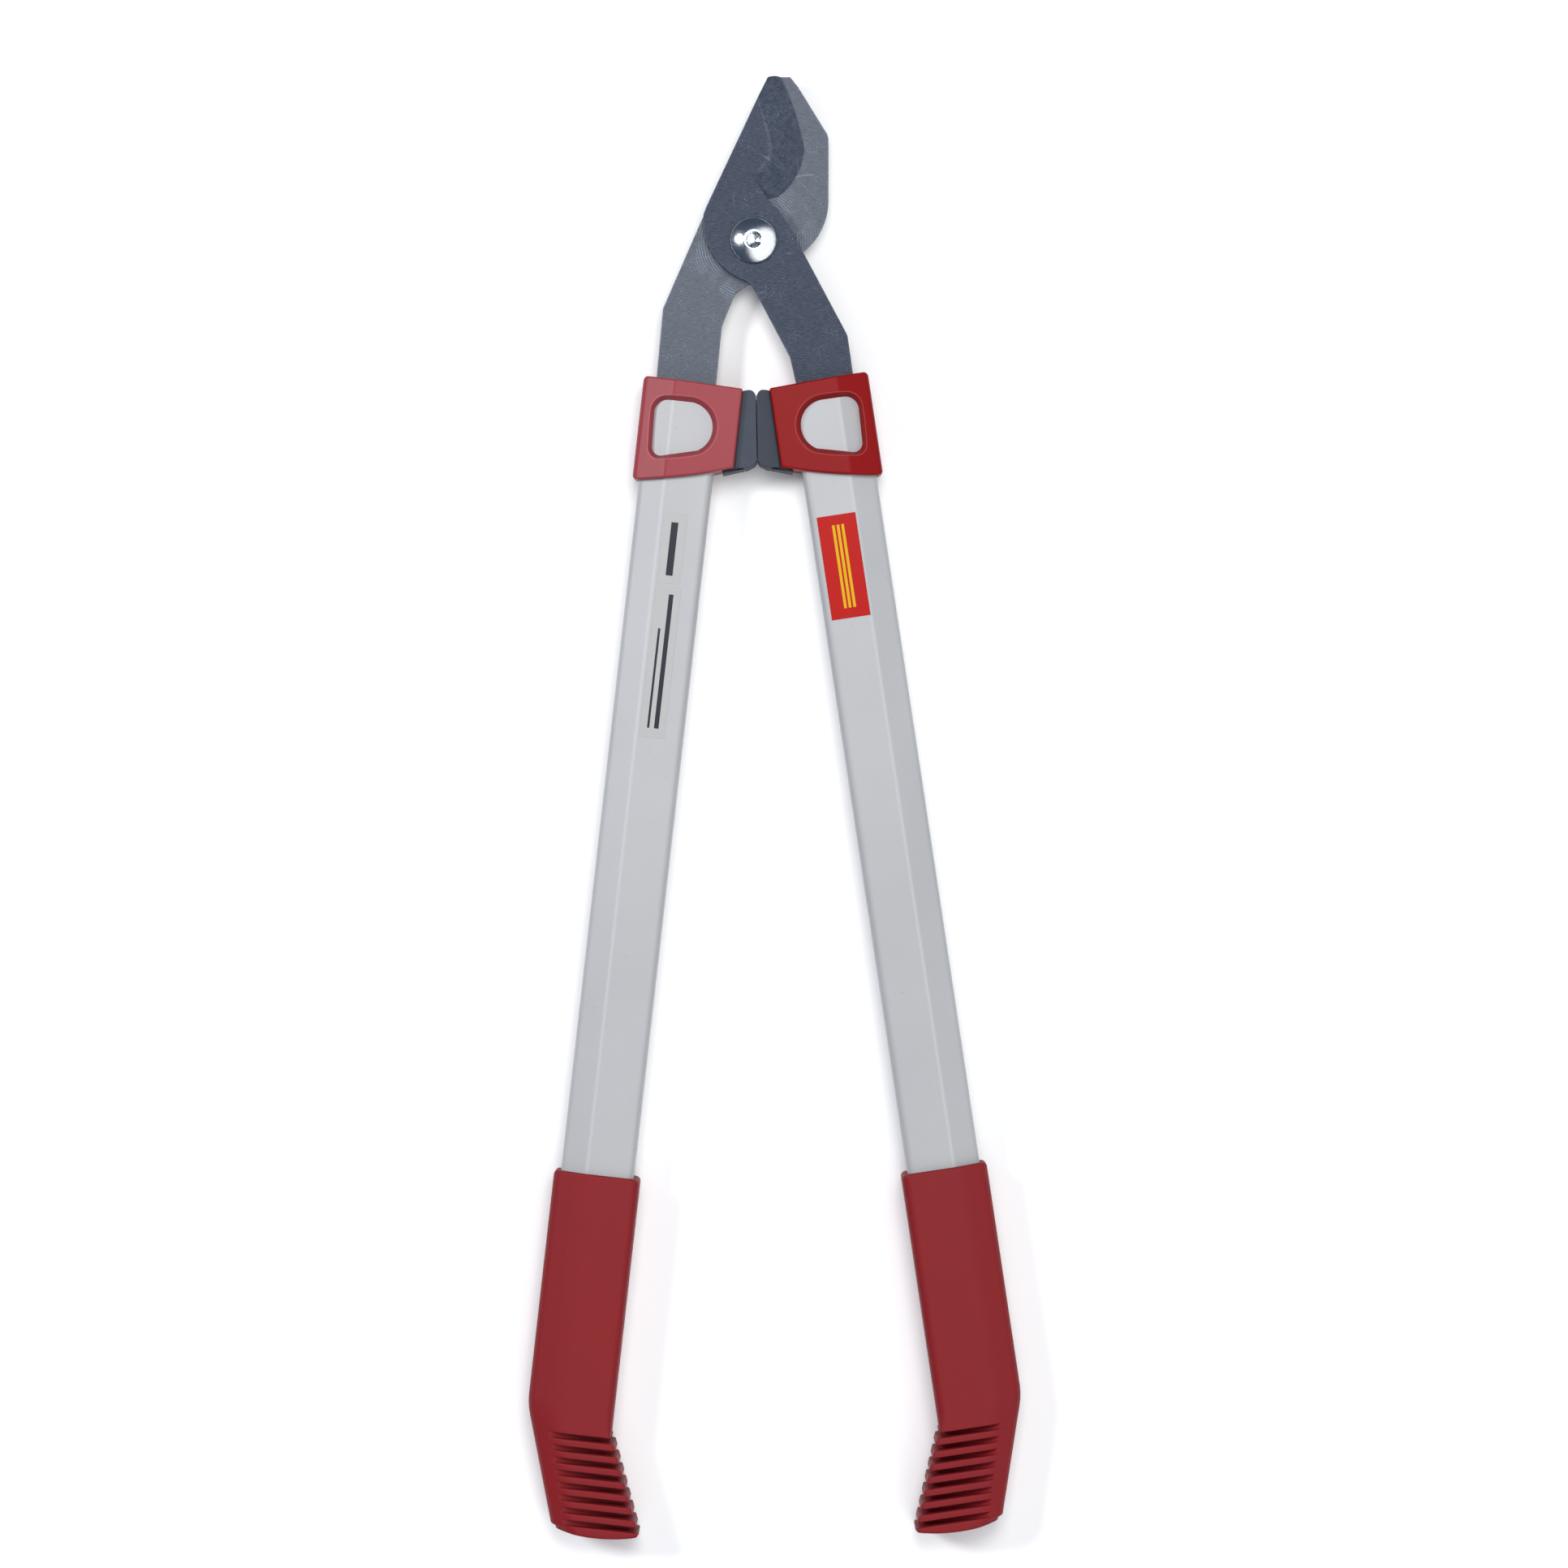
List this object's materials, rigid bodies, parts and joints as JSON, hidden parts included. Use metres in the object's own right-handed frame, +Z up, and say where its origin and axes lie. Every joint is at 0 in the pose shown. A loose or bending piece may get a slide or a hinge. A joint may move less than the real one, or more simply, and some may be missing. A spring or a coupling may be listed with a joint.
{
  "type": "bypass loppers",
  "caption": "Bypass loppers: a curved cutting blade passes a hook blade on one pivot bolt, with long faceted tubular handles, red collars, rubber stops and ribbed red grips.",
  "frame": {"origin": "middle of the base that the closed tool lies on", "axes": "+Y along the tool towards the blade tips, +Z up from the surface it lies on, +X towards the cutting blade's handle"},
  "size_m": [0.212, 0.6288, 0.027],
  "materials": {
    "cutting_steel": "dark satin, fine scratches",
    "hook_steel": "satin ground steel, grey",
    "zinc": "bright zinc plating",
    "nylon": "natural nylon",
    "tube": "light grey powder coat, fine texture",
    "core": "moulded, black",
    "collar": "moulded, satin red",
    "buffer": "moulded rubber, dark grey",
    "grip": "moulded, fine matt texture, red",
    "label": "printed vinyl, red",
    "film": "clear film over grey"
  },
  "bodies": {
    "hook_arm": {"hook_blade": "hook_steel", "pivot_bolt": "zinc", "pivot_bushing": "zinc", "wave_washer": "zinc", "lock_nut": "zinc", "nut_ring": "nylon", "left_handle_tube": "tube", "left_tang_core": "core", "left_tang_pin": "zinc", "left_collar": "collar", "left_buffer": "buffer", "left_grip": "grip", "upper_film_label": "film", "lower_film_label": "film"},
    "cutting_arm": {"cutting_blade": "cutting_steel", "right_handle_tube": "tube", "right_tang_core": "core", "right_tang_pin": "zinc", "right_collar": "collar", "right_buffer": "buffer", "right_grip": "grip", "product_label": "label"}
  },
  "joints": [
    {"name": "blade_pivot", "type": "hinge", "parent": "hook_arm", "child": "cutting_arm", "pos_m": [0, 0.2432, 0.0135], "axis": [0, 0, 1], "range_deg": [0, 65]}
  ]
}
